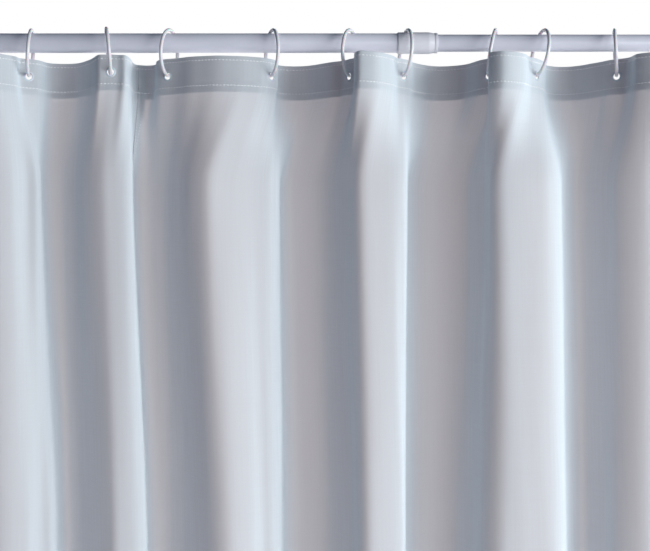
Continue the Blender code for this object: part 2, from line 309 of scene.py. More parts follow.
class Graph:
    """A node tree with short ways to add nodes and to join them."""

    def __init__(self, tree: bpy.types.NodeTree) -> None:
        """Keeps the tree that nodes are added to."""
        self.tree = tree

    def add(self, kind: str, settings: dict | None = None, **inputs) -> bpy.types.Node:
        """Adds a node.

        Args:
            kind: The node's type, such as ShaderNodeMath.
            settings: The node's own properties.
            **inputs: Values or sockets for its inputs. An underscore stands for a space, and _1 for
                the input with that number.

        Returns:
            The new node.
        """
        node = self.tree.nodes.new(kind)
        for key, value in (settings or {}).items():
            setattr(node, key, value)
        for key, value in inputs.items():
            socket = node.inputs[int(key[1:])] if key[0] == "_" else node.inputs[key.replace("_", " ")]
            if isinstance(value, bpy.types.NodeSocket):
                self.tree.links.new(value, socket)
            else:
                socket.default_value = value
        return node

    def math(self, operation: str, first, second=0.0) -> bpy.types.NodeSocket:
        """The result of a Math node.

        Args:
            operation: The Math node's operation.
            first: A value or a socket.
            second: A value or a socket.

        Returns:
            The output socket.
        """
        return self.add("ShaderNodeMath", {"operation": operation}, _0=first, _1=second).outputs[0]

    def mix(self, factor, first, second) -> bpy.types.NodeSocket:
        """A colour between two colours.

        Args:
            factor: A value or a socket.
            first: The colour at 0, or a socket.
            second: The colour at 1, or a socket.

        Returns:
            The output socket.
        """
        settings = {"data_type": "RGBA"}
        return self.add("ShaderNodeMix", settings, _0=factor, _6=first, _7=second).outputs[2]


def shader_group(name: str, takes: dict[str, str], gives: dict[str, str]) -> tuple[Graph, dict, dict]:
    """A new shader node group with named sockets.

    Args:
        name: The group's name.
        takes: Input names, each with its socket type.
        gives: Output names, each with its socket type.

    Returns:
        The group's graph, its input sockets by name, and its output node's inputs by name.
    """
    tree = bpy.data.node_groups.new(name, "ShaderNodeTree")
    for label, kind in takes.items():
        tree.interface.new_socket(label, in_out="INPUT", socket_type=kind)
    for label, kind in gives.items():
        tree.interface.new_socket(label, in_out="OUTPUT", socket_type=kind)
    source = tree.nodes.new("NodeGroupInput")
    target = tree.nodes.new("NodeGroupOutput")
    return Graph(tree), {k: source.outputs[k] for k in takes}, {k: target.inputs[k] for k in gives}


def woven_group() -> bpy.types.NodeTree:
    """A plain weave with slubs: crossing threads that pass over and under each other.

    Returns:
        The node group, which puts out Height and Slub from flat cloth coordinates in metres.
    """
    graph, takes, gives = shader_group(
        "plain_weave",
        {"Cloth": "NodeSocketVector", "Threads": "NodeSocketFloat"},
        {"Height": "NodeSocketFloat", "Slub": "NodeSocketFloat"})
    parts = graph.add("ShaderNodeSeparateXYZ", _0=takes["Cloth"]).outputs
    waves = []
    for axis in (0, 1):
        turns = graph.math("MULTIPLY", parts[axis], takes["Threads"])
        waves.append(graph.math("SINE", graph.math("MULTIPLY", turns, math.pi)))
    crossed = graph.math("MULTIPLY", waves[0], waves[1])
    threads = graph.math("ADD", graph.math("MULTIPLY", crossed, 0.5), 0.5)
    long_way = graph.add("ShaderNodeVectorMath", {"operation": "MULTIPLY"}, _0=takes["Cloth"],
                         _1=(520.0, 9.0, 1.0))
    cross_way = graph.add("ShaderNodeVectorMath", {"operation": "MULTIPLY"}, _0=takes["Cloth"],
                          _1=(14.0, 640.0, 1.0))
    warp = graph.add("ShaderNodeTexNoise", None, Vector=long_way.outputs[0], Scale=1.0, Detail=3.0,
                     Roughness=0.6)
    weft = graph.add("ShaderNodeTexNoise", None, Vector=cross_way.outputs[0], Scale=1.0, Detail=2.0,
                     Roughness=0.6)
    slub = graph.math("ADD", graph.math("MULTIPLY", warp.outputs[0], 0.7),
                      graph.math("MULTIPLY", weft.outputs[0], 0.3))
    graph.tree.links.new(graph.math("ADD", graph.math("MULTIPLY", threads, 0.6),
                                    graph.math("MULTIPLY", slub, 0.8)), gives["Height"])
    graph.tree.links.new(slub, gives["Slub"])
    return graph.tree


def surface_group() -> bpy.types.NodeTree:
    """Fine grain and handling marks, for hard surfaces.

    Returns:
        The node group, which puts out Grain and Marks, both from 0 to 1.
    """
    graph, takes, gives = shader_group(
        "grain_and_marks",
        {"Place": "NodeSocketVector", "Grain Scale": "NodeSocketFloat", "Mark Scale": "NodeSocketFloat"},
        {"Grain": "NodeSocketFloat", "Marks": "NodeSocketFloat"})
    grain = graph.add("ShaderNodeTexNoise", None, Vector=takes["Place"], Scale=takes["Grain Scale"],
                      Detail=2.0)
    broad = graph.add("ShaderNodeTexNoise", None, Vector=takes["Place"], Scale=takes["Mark Scale"],
                      Detail=5.0)
    spread = graph.add("ShaderNodeMapRange", None, Value=broad.outputs[0], From_Min=0.42, From_Max=0.68)
    graph.tree.links.new(grain.outputs[0], gives["Grain"])
    graph.tree.links.new(spread.outputs[0], gives["Marks"])
    return graph.tree


# ------------------------------------------------------------------ finishes
Colour = tuple[float, float, float]


def rgba(colour: Colour) -> tuple[float, float, float, float]:
    """The colour with full alpha."""
    return (*colour, 1.0)


def scaled(colour: Colour, by: float) -> tuple[float, float, float, float]:
    """The colour made lighter or darker, with full alpha."""
    return (*(min(1.0, c * by) for c in colour), 1.0)


@dataclass(frozen=True)
class HardFinish:
    """Paint, moulded plastic, rubber or metal: a colour, its gloss, its grain and its marks."""

    name: str
    colour: Colour
    roughness: float
    metallic: float = 0.0
    coat: float = 0.0
    specular: float = 0.5
    grain_scale: float = 2500.0
    grain_depth: float = 0.00002
    mark_scale: float = 40.0
    mark_share: float = 0.06
    glow_through: float = 0.0

    def build(self, surface: bpy.types.NodeTree) -> bpy.types.Material:
        """Makes the material.

        Args:
            surface: The grain_and_marks group.

        Returns:
            The new material.
        """
        material = bpy.data.materials.new(self.name)
        material.use_nodes = True
        graph = Graph(material.node_tree)
        shader = material.node_tree.nodes["Principled BSDF"]
        place = graph.add("ShaderNodeTexCoord").outputs["Object"]
        marks = graph.add("ShaderNodeGroup", {"node_tree": surface}, Place=place,
                          Grain_Scale=self.grain_scale, Mark_Scale=self.mark_scale)
        tint = graph.mix(marks.outputs["Marks"], rgba(self.colour),
                         scaled(self.colour, 1 - self.mark_share))
        gloss = graph.add("ShaderNodeMapRange", None, Value=marks.outputs["Marks"],
                          To_Min=self.roughness, To_Max=min(1.0, self.roughness + 1.6 * self.mark_share))
        bump = graph.add("ShaderNodeBump", None, Strength=0.5, Distance=self.grain_depth,
                         Height=marks.outputs["Grain"])
        links = material.node_tree.links
        links.new(tint, shader.inputs["Base Color"])
        links.new(gloss.outputs[0], shader.inputs["Roughness"])
        links.new(bump.outputs[0], shader.inputs["Normal"])
        shader.inputs["Metallic"].default_value = self.metallic
        shader.inputs["Coat Weight"].default_value = self.coat
        shader.inputs["Coat Roughness"].default_value = 0.12
        shader.inputs["Specular IOR Level"].default_value = self.specular
        if self.glow_through > 0.0:
            shader.inputs["Subsurface Weight"].default_value = self.glow_through
            shader.inputs["Subsurface Scale"].default_value = 0.002
        return material


@dataclass(frozen=True)
class ClothFinish:
    """Satin woven cloth that lets light through. Its pattern follows the flat cloth, in metres."""

    name: str
    colour: Colour
    light_through: Colour
    through_share: float
    roughness: float
    sheen: float
    threads: float = 3200.0
    weave_depth: float = 0.00005
    slub_share: float = 0.10
    slant_loss: float = 1.0

    def build(self, weave: bpy.types.NodeTree) -> bpy.types.Material:
        """Makes the material.

        Args:
            weave: The plain_weave group.

        Returns:
            The new material. The cloth scatters light once: a ray inside its thickness passes on.
        """
        material = bpy.data.materials.new(self.name)
        material.use_nodes = True
        graph = Graph(material.node_tree)
        links = material.node_tree.links
        shader = material.node_tree.nodes["Principled BSDF"]
        output = material.node_tree.nodes["Material Output"]
        cloth = graph.add("ShaderNodeUVMap", {"uv_map": "flat_cloth"}).outputs[0]
        woven = graph.add("ShaderNodeGroup", {"node_tree": weave}, Cloth=cloth, Threads=self.threads)
        slub = graph.add("ShaderNodeMapRange", None, Value=woven.outputs["Slub"], From_Min=0.35,
                         From_Max=0.65)
        front = graph.mix(slub.outputs[0], scaled(self.colour, 1 - self.slub_share), rgba(self.colour))
        through = graph.mix(slub.outputs[0], rgba(self.light_through),
                            scaled(self.light_through, 1 - self.slub_share))
        bump = graph.add("ShaderNodeBump", None, Strength=0.6, Distance=self.weave_depth,
                         Height=woven.outputs["Height"])
        links.new(front, shader.inputs["Base Color"])
        links.new(bump.outputs[0], shader.inputs["Normal"])
        shader.inputs["Roughness"].default_value = self.roughness
        shader.inputs["Sheen Weight"].default_value = self.sheen
        shader.inputs["Sheen Roughness"].default_value = 0.4
        shader.inputs["Specular IOR Level"].default_value = 0.35
        behind = graph.add("ShaderNodeBsdfTranslucent", None, Color=through, Normal=bump.outputs[0])
        slant = graph.add("ShaderNodeLayerWeight", None, Blend=0.5).outputs["Facing"]
        passed = graph.math("MULTIPLY",
                            graph.math("SUBTRACT", 1.0, graph.math("MULTIPLY", slant, self.slant_loss)),
                            self.through_share)
        scatter = graph.add("ShaderNodeMixShader", None, _0=passed,
                            _1=shader.outputs[0], _2=behind.outputs[0])
        inside = graph.add("ShaderNodeNewGeometry").outputs["Backfacing"]
        clear = graph.add("ShaderNodeBsdfTransparent")
        once = graph.add("ShaderNodeMixShader", None, _0=inside, _1=scatter.outputs[0], _2=clear.outputs[0])
        links.new(once.outputs[0], output.inputs["Surface"])
        return material


class Slot(Enum):
    """The record's material slots."""

    ROD = "rod_paint"
    COLLAR = "collar_plastic"
    CAP = "cap_plastic"
    RING = "ring_plastic"
    EYELET = "eyelet_plastic"
    CLOTH = "curtain_cloth"
    RUBBER = "foot_rubber"
    STEEL = "spring_steel"


HARD_FINISHES = {
    Slot.ROD: HardFinish("satin_enamel", (0.72, 0.70, 0.78), 0.38, coat=0.15, grain_scale=1400.0,
                         grain_depth=0.00003, mark_scale=22.0, mark_share=0.05),
    Slot.COLLAR: HardFinish("moulded_collar", (0.78, 0.75, 0.79), 0.34, grain_scale=3000.0,
                            mark_share=0.04),
    Slot.CAP: HardFinish("moulded_cap", (0.55, 0.57, 0.65), 0.42, grain_scale=3000.0),
    Slot.RING: HardFinish("glossy_ring", (0.78, 0.75, 0.77), 0.36, coat=0.05, mark_share=0.04,
                          glow_through=0.40),
    Slot.EYELET: HardFinish("moulded_eyelet", (0.60, 0.64, 0.70), 0.4, glow_through=0.3),
    Slot.RUBBER: HardFinish("matt_rubber", (0.20, 0.20, 0.22), 0.85, specular=0.3, mark_share=0.12),
    Slot.STEEL: HardFinish("drawn_steel", (0.56, 0.56, 0.57), 0.28, metallic=1.0, mark_share=0.1),
}
CLOTH_FINISH = ClothFinish("satin_cloth", (0.80, 0.875, 0.93), (0.63, 0.50, 0.48), 0.48, 0.50, 0.15)
THREAD_FINISH = HardFinish("sewing_thread", (0.93, 0.90, 0.91), 0.7, grain_scale=6000.0,
                           grain_depth=0.00005)


class Finishes:
    """All materials of the object, each made once."""

    def __init__(self) -> None:
        """Makes the shared groups and every material."""
        surface, weave = surface_group(), woven_group()
        self.hard = {slot: finish.build(surface) for slot, finish in HARD_FINISHES.items()}
        self.cloth = CLOTH_FINISH.build(weave)
        self.thread = THREAD_FINISH.build(surface)

    def dress(self, piece: bpy.types.Object, slot: Slot,
              material: bpy.types.Material | None = None) -> None:
        """Gives a piece its material and names its slot.

        Args:
            piece: The piece.
            slot: The record's slot.
            material: The material, if it isn't the slot's own.
        """
        piece.data.materials.clear()
        piece.data.materials.append(material or self.hard[slot])
        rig.slot(piece, slot.value)


# ------------------------------------------------------------------ the rod
@dataclass
class Rod:
    """The telescopic rod's outer pieces, turned finely, and its inner works."""

    finishes: Finishes
    tube_wall: float = 0.0009
    along: Matrix = field(default_factory=lambda: Matrix.Rotation(math.pi / 2, 4, "Y"))

    def place(self, x: float, towards_left: bool = False) -> Matrix:
        """Where a turned piece's own axes go.

        Args:
            x: The place of its height 0 on the rod's axis.
            towards_left: Whether its height grows towards -X.

        Returns:
            The matrix.
        """
        turn = Matrix.Rotation(math.pi if towards_left else 0.0, 4, "Z")
        return Matrix.Translation((x, 0.0, 0.0)) @ turn @ self.along

    def keep(self, piece: bpy.types.Object, node: str, body: str, slot: Slot) -> None:
        """Puts a finished piece in its CAD node's stead.

        Args:
            piece: The piece.
            node: The CAD node that it stands for.
            body: The body that it rides on.
            slot: The record's material slot.
        """
        self.finishes.dress(piece, slot)
        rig.ride(piece, body)
        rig.replaces(piece, node)
        log.info("%s stands for %s", piece.name, node)

    def tube(self, node: str, body: str) -> None:
        """A tube with softly rounded cut edges, over its CAD node's length.

        Args:
            node: The CAD node.
            body: The body that it rides on.
        """
        low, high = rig.box(node)
        radius = high.z
        length = high.x - low.x
        wall = ((radius, length), (radius, 0.0), (radius - self.tube_wall, 0.0),
                (radius - self.tube_wall, length))
        piece = turned(node + "_finished", rounded(wall, 0.0003, 2), self.place(low.x))
        self.keep(piece, node, body, Slot.ROD)

    def collar(self) -> None:
        """The sleeve on the outer tube's end: a plain barrel, a taper, and a lip round the inner tube."""
        low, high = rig.box("collar")
        outer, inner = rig.box("outer_tube")[1].z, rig.box("inner_tube")[1].z
        length, radius = high.x - low.x, high.z
        tube_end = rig.box("outer_tube")[1].x - low.x + 0.0003
        lip = radius - 0.0009
        outline = (
            (lip, length), (lip, length - 0.0034), (lip - 0.0004, length - 0.0042), (lip - 0.0002,
                                                                                     length - 0.0052),
            (radius, length - 0.0115), (radius, 0.0012), (radius - 0.0005, 0.0),
            (outer + 0.0003, 0.0), (outer + 0.0003, tube_end), (inner + 0.0003, tube_end), (inner + 0.0003,
                                                                                            length))
        piece = turned("collar_finished", rounded(outline, 0.0007), self.place(low.x))
        self.keep(piece, "collar", "rod_outer", Slot.COLLAR)

    def end(self, side: str, body: str, tube: str) -> None:
        """An end cap with a grip bead, and its rubber foot with grooves that hold to the wall.

        Args:
            side: left or right.
            body: The body that both ride on.
            tube: The tube that the cap is on.
        """
        low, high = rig.box(side + "_rubber_foot")
        wall_x = low.x if side == "left" else high.x
        place = self.place(wall_x, side == "right")
        thickness, radius = high.x - low.x, high.z
        groove, step = 0.0006, 0.0030
        face: list[tuple[float, float]] = [(radius - 0.0012, 0.0)]
        for number in range(4):
            start = radius - 0.0035 - number * step
            face += [(start, 0.0), (start - 0.0004, groove), (start - 0.0011, groove),
                     (start - 0.0015, 0.0)]
        foot = [(0.0, thickness), (radius - 0.0008, thickness), (radius, thickness - 0.0008),
                (radius, 0.0012), *face,
                (0.0, 0.0)]
        self.keep(turned(side + "_foot_finished", rounded(foot, 0.0004, 3), place),
                  side + "_rubber_foot", body, Slot.RUBBER)
        cap_low, cap_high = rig.box(side + "_end_cap")
        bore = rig.box(tube)[1].z + 0.0003
        base, tip = thickness + 0.0003, thickness + 0.0003 + cap_high.x - cap_low.x
        flange = cap_high.z
        cap = ((0.0, base + 0.0060), (bore, base + 0.0060), (bore, tip), (bore + 0.0014, tip),
               (bore + 0.0014, tip - 0.0030), (bore + 0.0009, tip - 0.0038), (bore + 0.0016, base + 0.0140),
               (flange - 0.0022, base + 0.0048), (flange, base + 0.0030), (flange, base), (0.0, base))
        self.keep(turned(side + "_cap_finished", rounded(cap, 0.0008), place), side + "_end_cap", body,
                  Slot.CAP)

    def build(self) -> None:
        """Makes the outer pieces and dresses the inner works."""
        self.tube("outer_tube", "rod_outer")
        self.tube("inner_tube", "rod_inner")
        self.collar()
        self.end("left", "rod_outer", "outer_tube")
        self.end("right", "rod_inner", "inner_tube")
        for node, slot in (("spring_stop", Slot.CAP), ("spring_follower", Slot.CAP),
                           ("spindle", Slot.STEEL), ("tension_spring", Slot.STEEL)):
            self.finishes.dress(frame["nodes"][node], slot)
            log.info("%s keeps its CAD shape", node)


# ------------------------------------------------------------------ the rings
@dataclass
class Rings:
    """Twelve moulded rings, each with a snap joint in its upper back half."""

    finishes: Finishes
    wire_radius: float = 0.00225
    joint_angle: float = math.radians(118)
    joint_swell: float = 0.00032
    joint_groove: float = 0.00022
    steps_round: int = 144
    steps_wire: int = 18

    def wire_at(self, angle: float) -> float:
        """The wire's radius at an angle round the ring, counted from its foot to the back.

        Args:
            angle: The angle, in radians.

        Returns:
            The radius: it swells at the snap joint, with a fine groove where the ends meet.
        """
        away = abs((angle - self.joint_angle + math.pi) % math.tau - math.pi)
        swell = self.joint_swell * max(0.0, 1.0 - (away / 0.11) ** 4)
        groove = (self.joint_groove + swell * 0.6) * math.exp(-((away / 0.010) ** 2))
        return self.wire_radius + swell - groove

    def ring(self, number: int) -> None:
        """One ring, about its CAD node's own middle and axis.

        Args:
            number: The ring's number, from the left.
        """
        node = f"ring_{number:02d}"
        middle, axis = middle_of(node), flat_axis(node)
        if axis.x < 0:
            axis.negate()
        foot = middle_of(f"eyelet_{number:02d}") - middle
        foot = (foot - axis * foot.dot(axis)).normalized()
        back = axis.cross(foot) * -1.0
        if back.y < 0:
            back.negate()
        points = np.array([v.co for v in frame["nodes"][node].data.vertices])
        radius = float(np.linalg.norm(points - np.array(middle), axis=1).max()) - self.wire_radius
        near = np.linspace(-0.13, 0.13, 53) + self.joint_angle
        rest = np.linspace(self.joint_angle + 0.13, self.joint_angle - 0.13 + math.tau,
                           self.steps_round)[1:-1]
        angles = np.concatenate([near, rest])
        vertices = []
        for angle in angles:
            out = foot * math.cos(angle) + back * math.sin(angle)
            wire = self.wire_at(float(angle) % math.tau)
            for step in range(self.steps_wire):
                turn = math.tau * step / self.steps_wire
                across = out * (radius + wire * math.cos(turn))
                vertices.append(middle + across + axis * (wire * math.sin(turn)))
        count, wide = len(angles), self.steps_wire
        outwards = back.cross(axis).dot(foot) > 0
        faces = []
        for i in range(count):
            for j in range(wide):
                a, b = i * wide + j, i * wide + (j + 1) % wide
                c, d = ((i + 1) % count) * wide + (j + 1) % wide, ((i + 1) % count) * wide + j
                faces.append((a, b, c, d) if outwards else (a, d, c, b))
        piece = new_piece(node + "_finished", vertices, faces)
        self.finishes.dress(piece, Slot.RING)
        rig.ride(piece, node)
        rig.replaces(piece, node)

    def build(self) -> None:
        """Makes all rings."""
        for number in range(1, RING_COUNT + 1):
            self.ring(number)
        log.info("%d rings", RING_COUNT)


# ------------------------------------------------------------------ the cloth's line in plan
def along_line(points: np.ndarray) -> np.ndarray:
    """The length along a line at each of its points, from 0."""
    return np.concatenate([[0.0], np.cumsum(np.linalg.norm(np.diff(points, axis=0), axis=1))])


@dataclass(frozen=True)
class Hold:
    """Where the cloth passes a ring in plan, and its direction there, in radians from +X."""

    x: float
    y: float
    angle: float

    @property
    def place(self) -> np.ndarray:
        """The place in plan."""
        return np.array([self.x, self.y])

    @property
    def direction(self) -> np.ndarray:
        """The cloth's direction in plan, towards +X."""
        return np.array([math.cos(self.angle), math.sin(self.angle)])


@dataclass
class PlanLine:
    """The cloth's line seen from above, with the real length of cloth between its holds.

    A fold's knots say, for each, the share of the way along X from one hold to the next, and the
    depth, below 0 to the front. A fold held by its rings has its depths scaled until it holds one
    pitch of cloth. Further down a little cloth may pass from one fold to the next.
    """

    holds: Sequence[Hold]
    folds: Sequence[Knots]
    left_edge: tuple[float, float]
    right_edge: tuple[float, float]
    straight: float
    softness: float
    held: bool = True
    pitch: float = 0.150
    margin: float = 0.075
    spacing: float = 0.0005

    def __post_init__(self) -> None:
        """Draws the line and evens it out."""
        pieces = [self.edge(self.holds[0], self.left_edge, -1.0)[::-1]]
        for left, right, knots in zip(self.holds, self.holds[1:], self.folds):
            pieces.append(self.fold(left, right, knots))
        pieces.append(self.edge(self.holds[-1], self.right_edge, 1.0))
        line = np.concatenate(pieces)
        whole = 2 * self.margin + (len(self.holds) - 1) * self.pitch
        self.at_length = np.linspace(0.0, whole, round(whole / self.spacing) + 1)
        along = along_line(line) * whole / along_line(line)[-1]
        even = np.stack([np.interp(self.at_length, along, line[:, k]) for k in (0, 1)], axis=1)
        self.points = self.softened(even)
        slope = np.gradient(self.points, self.spacing, axis=0)
        self.tangents = slope / np.linalg.norm(slope, axis=1)[:, None]

    def softened(self, line: np.ndarray) -> np.ndarray:
        """The line with its bends eased.

        Args:
            line: Points that lie evenly along the line.

        Returns:
            As many points.
        """
        reach = max(1, round(3 * self.softness / self.spacing))
        weights = np.exp(-0.5 * (np.arange(-reach, reach + 1) * self.spacing / self.softness) ** 2)
        weights /= weights.sum()
        before = 2 * line[0] - line[reach:0:-1]
        after = 2 * line[-1] - line[-2:-reach - 2:-1]
        padded = np.concatenate([before, line, after])
        return np.stack([np.convolve(padded[:, k], weights, "valid") for k in (0, 1)], axis=1)

    @staticmethod
    def smooth(knots: np.ndarray, leave: np.ndarray, arrive: np.ndarray, samples: int = 40) -> np.ndarray:
        """A smooth line through knots that leaves and arrives in given directions.

        Args:
            knots: The points to pass through.
            leave: The direction at the first.
            arrive: The direction at the last.
            samples: How many points each stretch has.

        Returns:
            The line's points.
        """
        slopes = np.zeros_like(knots)
        slopes[1:-1] = (knots[2:] - knots[:-2]) / 2
        slopes[0] = leave * np.linalg.norm(knots[1] - knots[0])
        slopes[-1] = arrive * np.linalg.norm(knots[-1] - knots[-2])
        t = np.linspace(0.0, 1.0, samples, endpoint=False)[:, None]
        pieces = []
        for a, b, p, q in zip(knots, knots[1:], slopes, slopes[1:]):
            pieces.append(a * (2 * t ** 3 - 3 * t ** 2 + 1) + p * (t ** 3 - 2 * t ** 2 + t)
                          + b * (3 * t ** 2 - 2 * t ** 3) + q * (t ** 3 - t ** 2))
        return np.concatenate([*pieces, knots[-1:]])

    @staticmethod
    def to_length(draw: Callable[[float], np.ndarray], length: float) -> np.ndarray:
        """The line that draw() gives at the scale where it is that long.

        Args:
            draw: Gives a line from a scale, which grows with it.
            length: The wanted length.

        Returns:
            The line's points.
        """
        low, high = 0.1, 3.0
        for _ in range(40):
            scale = (low + high) / 2
            if along_line(draw(scale))[-1] < length:
                low = scale
            else:
                high = scale
        return draw(low)

    def fold(self, left: Hold, right: Hold, knots: Knots) -> np.ndarray:
        """The cloth between the straight stretches at two holds.

        Args:
            left: The hold on the left.
            right: The hold on the right.
            knots: The fold's knots.

        Returns:
            The line's points.
        """
        start = left.place + left.direction * self.straight
        end = right.place - right.direction * self.straight
        shares = np.array(knots)

        def draw(scale: float) -> np.ndarray:
            """The fold's line with its depths scaled."""
            middle = np.stack([left.x + shares[:, 0] * (right.x - left.x), shares[:, 1] * scale], axis=1)
            return self.smooth(np.vstack([start, middle, end]), left.direction, right.direction)

        return self.to_length(draw, self.pitch - 2 * self.straight) if self.held else draw(1.0)

    def edge(self, hold: Hold, reach: tuple[float, float], outwards: float) -> np.ndarray:
        """The cloth from the straight stretch at an outer hold to the side edge.

        Args:
            hold: The outer hold.
            reach: The way to the side edge, which is scaled.
            outwards: -1 at the left and 1 at the right.

        Returns:
            The line's points, from the hold outwards.
        """
        leave = hold.direction * outwards
        start = hold.place + leave * self.straight

        def draw(scale: float) -> np.ndarray:
            """The edge's line with its reach scaled."""
            knots = np.vstack([start, start + np.array(reach) * scale])
            return self.smooth(knots, leave, np.array([outwards, 0.0]))

        return self.to_length(draw, self.margin - self.straight)

    def read(self, lengths: np.ndarray) -> tuple[np.ndarray, np.ndarray]:
        """Places and directions on the line.

        Args:
            lengths: Lengths along the line.

        Returns:
            The points and the unit tangents there.
        """
        points = np.stack([np.interp(lengths, self.at_length, self.points[:, k]) for k in (0, 1)], axis=-1)
        tangents = np.stack([np.interp(lengths, self.at_length, self.tangents[:, k]) for k in (0, 1)],
                            axis=-1)
        return points, tangents / np.linalg.norm(tangents, axis=-1, keepdims=True)


# Each fold from one ring to the next, as (share of the way along X, depth) knots.
HEADER_FOLDS: tuple[Knots, ...] = (
    ((0.20, -0.036), (0.55, -0.040), (0.85, -0.018)),
    ((0.20, 0.028), (0.48, 0.032), (0.70, 0.012), (0.84, -0.014)),
    ((0.25, -0.011), (0.30, -0.006), (0.31, 0.005), (0.30, 0.018), (0.37, 0.030), (0.66, 0.029)),
    ((0.28, -0.028), (0.56, -0.036), (0.84, -0.022)),
    ((0.04, 0.026), (0.18, 0.036), (0.45, 0.034), (0.76, 0.014)),
    ((0.09, -0.036), (0.125, -0.051), (0.20, -0.054), (0.50, -0.046), (0.76, -0.026)),
    ((0.16, 0.022), (0.44, 0.040), (0.76, 0.032)),
    ((0.15, -0.019), (0.08, -0.033), (-0.08, -0.042), (-0.06, -0.054), (0.20, -0.063), (0.62, -0.046)),
    ((0.22, 0.036), (0.52, 0.040), (0.82, 0.016)),
    ((0.18, -0.032), (0.50, -0.042), (0.82, -0.018)),
    ((0.20, 0.030), (0.52, 0.038), (0.82, 0.014)),
)


@dataclass(frozen=True)
class Level:
    """The cloth's plan at one distance below its top edge, where it hangs free of the rings.

    Its holds are those of the header, moved by drifts along X and put at offsets along Y.
    """

    depth: float
    drifts: tuple[float, ...]
    offsets: tuple[float, ...]
    turns: tuple[float, ...]
    folds: tuple[Knots, ...]
    softness: float = 0.0035


LEVELS = (
    Level(
        0.16,
        (0.000, 0.010, 0.005, -0.001, -0.006, -0.002, -0.005, -0.005, -0.015, -0.021, -0.008, -0.002),
        (0.000, -0.026, -0.044, 0.012, -0.034, -0.028, -0.050, -0.008, -0.059, -0.008, -0.010, 0.000),
        (-25, 18, 6, -56, 20, -74, 22, -86, 8, -60, 30, -25),
        (
            ((0.18, -0.040), (0.50, -0.052), (0.80, -0.044)),
            ((0.07, -0.024), (0.09, -0.012), (0.05, 0.004), (0.04, 0.020), (0.15, 0.028),
             (0.28, 0.026), (0.45, 0.010), (0.58, -0.012), (0.70, -0.030), (0.84, -0.041)),
            ((0.23, -0.042), (0.37, -0.037), (0.40, -0.027), (0.34, -0.008),
             (0.26, 0.012), (0.28, 0.030), (0.49, 0.036), (0.76, 0.028)),
            ((0.09, -0.008), (0.20, -0.030), (0.30, -0.046),
             (0.41, -0.055), (0.51, -0.056), (0.76, -0.046)),
            ((0.08, -0.029), (0.14, -0.019), (0.15, -0.005), (0.14, 0.012), (0.16, 0.026),
             (0.27, 0.034), (0.50, 0.033), (0.71, 0.024), (0.88, 0.000)),
            ((0.07, -0.042), (0.14, -0.054), (0.26, -0.059), (0.57, -0.057), (0.83, -0.054)),
            ((0.05, -0.042), (0.08, -0.024), (0.09, 0.000), (0.12, 0.024),
             (0.27, 0.040), (0.54, 0.044), (0.80, 0.036), (0.93, 0.014)),
            ((0.01, -0.030), (-0.02, -0.048), (0.07, -0.060), (0.26, -0.064), (0.62, -0.062)),
            ((0.17, -0.056), (0.30, -0.049), (0.40, -0.034), (0.46, -0.012), (0.57, 0.008), (0.75, 0.020)),
            ((0.12, -0.038), (0.45, -0.055), (0.85, -0.034)),
            ((0.20, 0.040), (0.52, 0.048), (0.82, 0.020)),
        ),
    ),
    Level(
        0.62,
        (0.010, 0.031, 0.019, 0.020, -0.003, 0.007, -0.008, -0.019, -0.013, -0.022, -0.008, 0.002),
        (0.000, -0.034, -0.048, 0.010, -0.036, -0.028, -0.052, -0.006, -0.061, -0.008, -0.010, 0.000),
        (-20, 18, 8, -54, 20, -74, 22, -84, 6, -58, 30, -25),
        (
            ((0.18, -0.042), (0.50, -0.060), (0.82, -0.052)),
            ((0.08, -0.030), (0.11, -0.020), (0.08, -0.004), (0.07, 0.012), (0.15, 0.022),
             (0.32, 0.014), (0.49, -0.006), (0.64, -0.024), (0.80, -0.040)),
            ((0.23, -0.044), (0.37, -0.037), (0.42, -0.026), (0.38, -0.008),
             (0.33, 0.010), (0.33, 0.026), (0.50, 0.034), (0.75, 0.028)),
            ((0.12, -0.010), (0.25, -0.030), (0.38, -0.047),
             (0.51, -0.056), (0.64, -0.057), (0.83, -0.049)),
            ((0.08, -0.030), (0.13, -0.020), (0.15, -0.005), (0.15, 0.012), (0.20, 0.026),
             (0.38, 0.032), (0.62, 0.027), (0.78, 0.012), (0.91, -0.008)),
            ((0.06, -0.042), (0.16, -0.055), (0.31, -0.061), (0.60, -0.059), (0.80, -0.056)),
            ((0.06, -0.044), (0.09, -0.026), (0.10, 0.000), (0.14, 0.024),
             (0.29, 0.042), (0.55, 0.048), (0.79, 0.040), (0.94, 0.016)),
            ((0.03, -0.026), (0.06, -0.041), (0.17, -0.055), (0.38, -0.064), (0.71, -0.064)),
            ((0.19, -0.058), (0.34, -0.051), (0.44, -0.037), (0.51, -0.014), (0.64, 0.006), (0.83, 0.016)),
            ((0.12, -0.040), (0.45, -0.056), (0.85, -0.036)),
            ((0.20, 0.044), (0.52, 0.054), (0.82, 0.024)),
        ),
    ),
)


